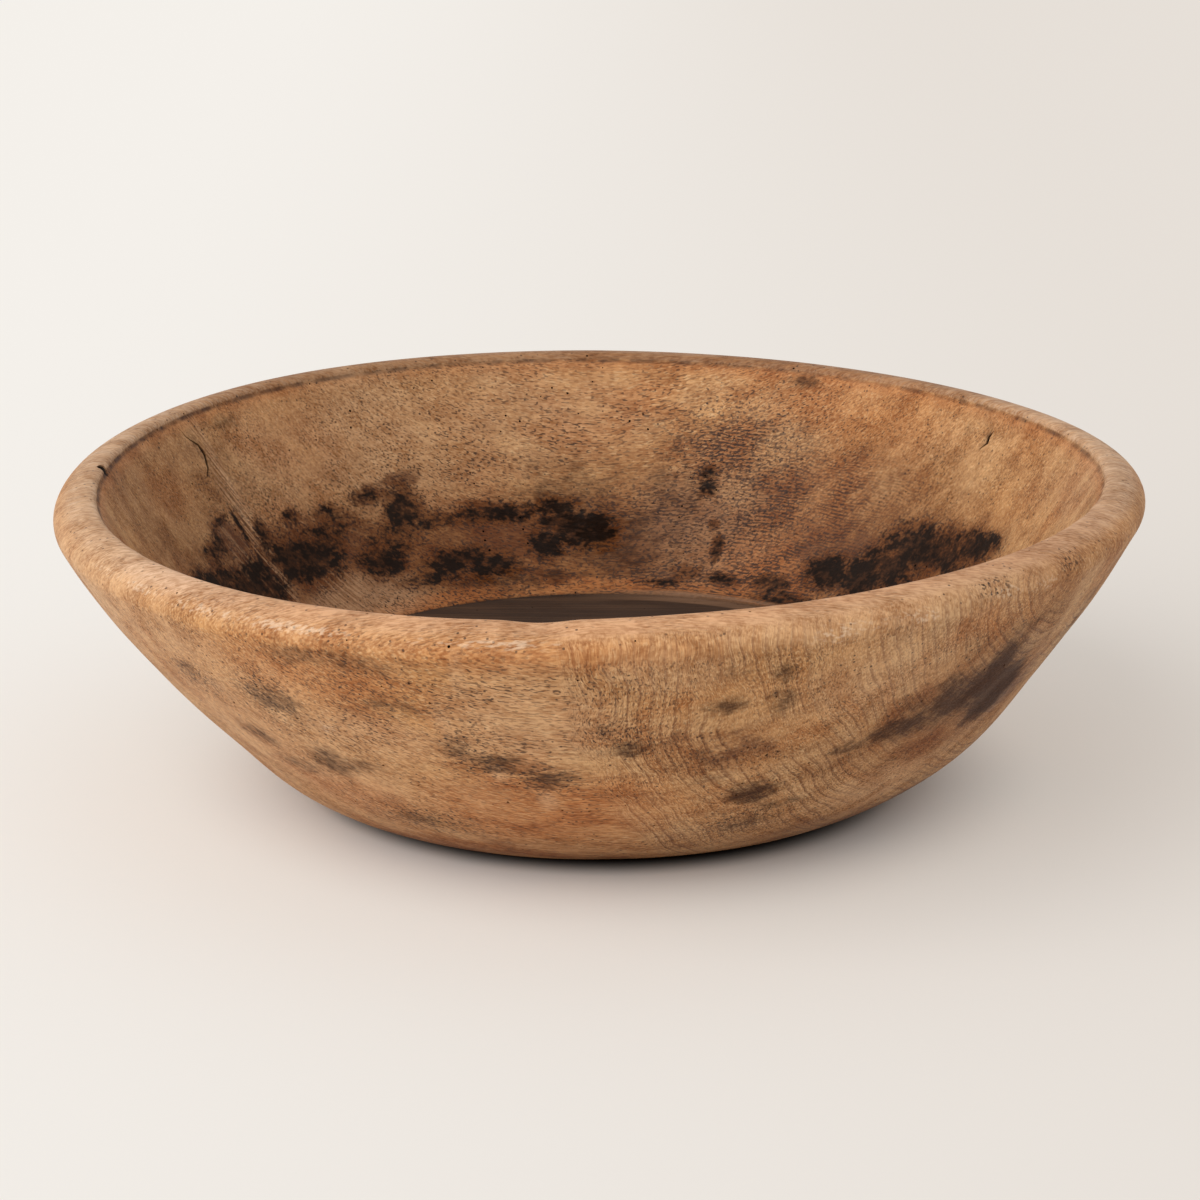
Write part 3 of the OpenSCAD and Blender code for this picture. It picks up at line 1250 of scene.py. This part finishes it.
# Painted shade: the rim darker at the back
colour = darken(colour, times(on_rim, between(axes["Y"], 60, 190)), 0.8)
colour = coat(colour, WOOD_ORANGE, times(reaching(9, 1), inside), 0.5)
greasy = sums((grain((9, 9, 9), 53), 0.6), (between(axes["X"], 60, -60), 0.25), (1.0, 0.15))
colour = coat(colour, EDGE, times(on_edge, greasy), 0.95)
print("nodes so far:", len(tree.nodes))

# %% [markdown]
# The stains come on top. A ragged noise is added to each stain's number before
# it is cut off, which is what tears its edge along the fibres. Charring is laid
# twice: here its wide, rust brown halo, and after the pores the black itself,
# cut off with a flaky noise, because char comes off the wood in flakes.

# %% Stains on the wood
ragged = sums(
    (grain((18, 12, 12), 61, 0.25, 0.75, 3.0), 0.45),
    (grain((7, 2.2, 3.6), 63, 0.3, 0.7), 0.35),
    (grain((3.5, 0.8, 1.6), 65, 0.3, 0.7), 0.2),
)
flaky = sums(
    (grain((15, 13, 10), 67, 0.3, 0.7, 2.0), 0.4),
    (grain((5, 4, 3.4), 68, 0.3, 0.7), 0.35),
    (grain((2.2, 1.4, 1.4), 69, 0.3, 0.7), 0.25),
)
soft = sums((fibres, 0.4), (patchy, 0.2), (1.0, 0.4))
colour = coat(colour, WOOD_ORANGE, times(between(marked["glowing"], 0, 0.9), soft), 0.75)
colour = coat(colour, BLEACH, times(between(marked["bleached"], 0, 0.9), soft), 0.7)
colour = coat(colour, RUST, between(sums((marked["rusted"], 1.0), (ragged, 0.9)), 0.75, 1.3), 0.7)
sooty = between(sums((marked["smoked"], 1.0), (ragged, 0.6), (flaky, 0.4)), 0.75, 1.6)
scorched = between(sums((marked["charred"], 1.0), (ragged, 1.0)), 0.2, 1.2)
colour = coat(colour, SMOKE, sooty, 0.95)
colour = coat(colour, RUST, scorched, 0.85)
print("nodes so far:", len(tree.nodes))

# %% [markdown]
# Fine fibres and pores go over the stains, because they are in the wood itself.
# They are fainter on the rim and just below it, where hands have closed them.
# The scrapes are light and dark streaks up the wall. The tool marks are rows
# round the wall, 1.7 mm apart, that break up into dots.

# %% Pores and tool marks
COMB_ROW = 1.7

tone = sums((fibres, 0.5), (uneven, 0.35), (mottle, 0.3), (patchy, 0.3), (1.0, -0.34))
colour = darken(colour, tone, 0.95)
uprights = grain((30, 1.1, 26), 95, 0.35, 0.65, 3.0)
streaked = between(marked["streaked"], 0, 0.9)
colour = coat(colour, BLEACH, times(streaked, between(uprights, 0.5, 1.0)), 0.4)
colour = darken(colour, times(streaked, between(uprights, 0.5, 0.0)), 1.0)
row_place = sums((marked["reach"], 1 / COMB_ROW), (grain((14, 14, 14), 81), 1.0))
row_place = add(tree, MATH, {0: row_place}, operation="FRACT").outputs["Value"]
rows = times(between(row_place, 0.15, 0.5), between(row_place, 1.0, 0.75))
dots = grain((2.4, 2.4, 1.4), 83, 0.35, 0.6, 0.0)
combed = times(between(marked["combed"], 0, 0.8), sums((times(rows, dots), 0.9), (rows, 0.25)))
colour = coat(colour, PORE, times(combed, sums((patchy, 0.6), (1.0, 0.4))), 0.8)
under_rim = times(reaching(-32, -22), reaching(-8, -12))
closed_up = between(sums((on_rim, 1.0), (under_rim, 1.0)), 0, 1)
open_pores = sums((marked["pitted"], 0.2), (patchy, 0.5), (closed_up, -0.35), (1.0, 0.4))
colour = coat(colour, PORE, times(dashes, open_pores), 0.9)
colour = coat(colour, PORE, times(specks, between(marked["pitted"], 0.0, 0.8)), 0.7)
colour = coat(colour, PORE, pinholes, 0.8)
colour = coat(colour, PORE, times(specks, between(marked["charred"], -0.6, 0.3)), 0.8)
print("nodes so far:", len(tree.nodes))

# %% [markdown]
# Last comes what hides the pores: the black char, the floor, and the places
# where the outer skin is scuffed off, with a painted highlight along the roll of
# the rim. The cuts know their depth, so their walls are painted darker as they
# go down, as painted shade inside the holes.

# %% Char, floor, scuffs and holes
charred = between(sums((marked["charred"], 0.9), (flaky, 1.0)), 0.78, 1.24)
glimmer = times(between(flaky, 0.65, 0.35), sums((fibres, 0.3), (uprights, 0.4), (1.0, 0.3)))
colour = coat(colour, coat(CHAR, EMBER, glimmer, 0.7), charred, 0.95)
colour = coat(colour, floor_colour, in_floor)
colour = coat(colour, LEDGE, times(on_ledge, sums((floor_streak, 0.3), (1.0, 0.7))), 0.8)
torn = sums((grain((4, 1.2, 1.3), 73, 0.3, 0.7, 2.0), 0.55), (grain((24, 20, 20), 75, 0.3, 0.7), 0.4))
# Scuffs, chips and the painted highlight on the roll
scuffs_and_highlight = between(sums((marked["scuffs_and_highlight"], 0.7), (torn, 1.0)), 1.05, 1.6)
colour = coat(colour, SCUFF_HIGHLIGHT, scuffs_and_highlight, 0.5)
# Painted shade: cut walls darker as they go down into burrows and cracks
colour = coat(colour, PORE, between(marked["deep"], 0.02, 0.2), 0.45)
colour = coat(colour, BORE_SHADE, between(marked["deep"], 0.3, 0.9), 0.97)
print("nodes so far:", len(tree.nodes))

# %% [markdown]
# Oiled wood that hands have worn is neither matt nor shiny, with a roughness of
# about 0.6, and soot and char are duller still. The IOR stays at 1.5, which
# suits both oil and wood. Only what is too fine for the mesh is left to bump:
# fibres, pores, tool marks and rings, a fifth of a millimetre deep at most.

# %% Finish of the wood
GRAIN_DEEP = 0.2 * MM
SHARP_ANGLE = math.radians(35)

rough = sums((1.0, 0.5), (patchy, 0.12), (fibres, 0.08), (scuffs_and_highlight, 0.08), (charred, 0.2))
gloss = sums((1.0, 0.25), (sooty, -0.12), (scorched, -0.12))
height = sums((fibres, 0.35), (dashes, -0.8), (combed, -0.6), (streaks, -0.15), (ring_dark, -0.4))
relief = add(tree, "ShaderNodeBump", {"Strength": 0.4, "Distance": GRAIN_DEEP, "Height": height})
skin = add(
    tree,
    "ShaderNodeBsdfPrincipled",
    {
        "Base Color": colour,
        "Roughness": rough,
        "Normal": relief.outputs["Normal"],
        "Specular IOR Level": gloss,
    },
)
add(tree, "ShaderNodeOutputMaterial", {"Surface": skin})
bowl.data.materials.clear()
bowl.data.materials.append(wood)
bowl.data.shade_smooth()
bowl.data.set_sharp_from_angle(angle=SHARP_ANGLE)
print("nodes in the wood:", len(tree.nodes))

# %% [markdown]
# ## Stage and light
#
# A wide, pale floor fills the whole picture, a little darker to the right, as
# in the photograph. One broad sun from the left gives the soft shadow, and an
# even white sky fills in. Together they light the floor at a level of about 1,
# so each colour shows as it is written.
#
# In the photograph the shadow is dark only close to the bowl. There the room
# itself threw light on the paper, so the camera sees the paper glow a little,
# and a little warm, beginning a hand's width from the bowl's middle. The bowl
# gets none of that. Right under the bowl the paper is painted dark, which makes
# the narrow line where the foot meets it.

# %% Floor
PAPER_LEFT = linear("F4F2EF")
PAPER_RIGHT = linear("E6E1DC")
PAPER_CORNERS = ((-12, -8, 0), (12, -8, 0), (12, 40, 0), (-12, 40, 0))
SHADING_HALF = 0.4
SHADOW = linear("251B14")
SHADOW_RING = (0.13, 0.11)
GLOW = 0.45
GLOW_RING = (0.11, 0.19)
WARM = linear("FFFAF3")


def seen():
    """1 for what the camera sees, straight or in a mirror or through glass, and 0 for light on the bowl."""
    path = add(tree, "ShaderNodeLightPath").outputs
    return sums(*((path[f"Is {kind} Ray"], 1.0) for kind in ("Camera", "Glossy", "Transmission")))


floor_mesh = bpy.data.meshes.new("studio_floor")
floor_mesh.from_pydata(PAPER_CORNERS, [], [(0, 1, 2, 3)])
studio_floor = bpy.data.objects.new("studio_floor", floor_mesh)
bpy.context.scene.collection.objects.link(studio_floor)

paper = bpy.data.materials.new("studio_paper")
paper.use_nodes = True
floor_mesh.materials.append(paper)
tree = paper.node_tree
tree.nodes.clear()
place = add(tree, "ShaderNodeTexCoord").outputs["Object"]
across = add(tree, "ShaderNodeSeparateXYZ", {"Vector": place}).outputs["X"]
away = add(tree, VECTOR_MATH, {0: place}, operation="LENGTH").outputs["Value"]
# Painted shade: the paper darker to the right, away from the sun
shade = coat(PAPER_LEFT, PAPER_RIGHT, between(across, -SHADING_HALF, SHADING_HALF))
shade = coat(shade, SHADOW, between(away, *SHADOW_RING))
diffuse = add(tree, "ShaderNodeBsdfDiffuse", {"Color": shade})
glow = add(tree, "ShaderNodeEmission", {"Color": coat(shade, WARM, 1.0, blend="MULTIPLY"), "Strength": 1.0})
glowing = times(seen(), between(away, *GLOW_RING), GLOW)
both = add(tree, "ShaderNodeMixShader", {0: glowing, 1: diffuse, 2: glow})
add(tree, "ShaderNodeOutputMaterial", {"Surface": both})
print("nodes in the paper:", len(tree.nodes))

# %% Sky and sun
SKY = 0.66
SUN = 1.95
SUN_HEIGHT = math.radians(34)
SUN_SIDE = math.radians(50)
SUN_SOFT = math.radians(70)

world = bpy.data.worlds.new("studio")
world.use_nodes = True
bpy.context.scene.world = world
tree = world.node_tree
tree.nodes.clear()
light = add(tree, "ShaderNodeBackground", {"Color": (1, 1, 1, 1), "Strength": SKY})
backdrop = add(tree, "ShaderNodeBackground", {"Color": PAPER_LEFT, "Strength": 1.0})
both = add(tree, "ShaderNodeMixShader", {0: seen(), 1: light, 2: backdrop})
add(tree, "ShaderNodeOutputWorld", {"Surface": both})

sun = bpy.data.objects.new("sun", bpy.data.lights.new("sun", "SUN"))
bpy.context.scene.collection.objects.link(sun)
sun.data.energy = SUN
sun.data.angle = SUN_SOFT
sun.rotation_euler = (math.pi / 2 - SUN_HEIGHT, 0, -SUN_SIDE)
bpy.context.scene.view_settings.view_transform = "Standard"
print("level on the floor:", round(SKY + SUN * math.sin(SUN_HEIGHT) / math.pi, 2))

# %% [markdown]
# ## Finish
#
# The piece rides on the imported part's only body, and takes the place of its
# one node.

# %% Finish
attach(bowl, "root")
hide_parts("bowl")
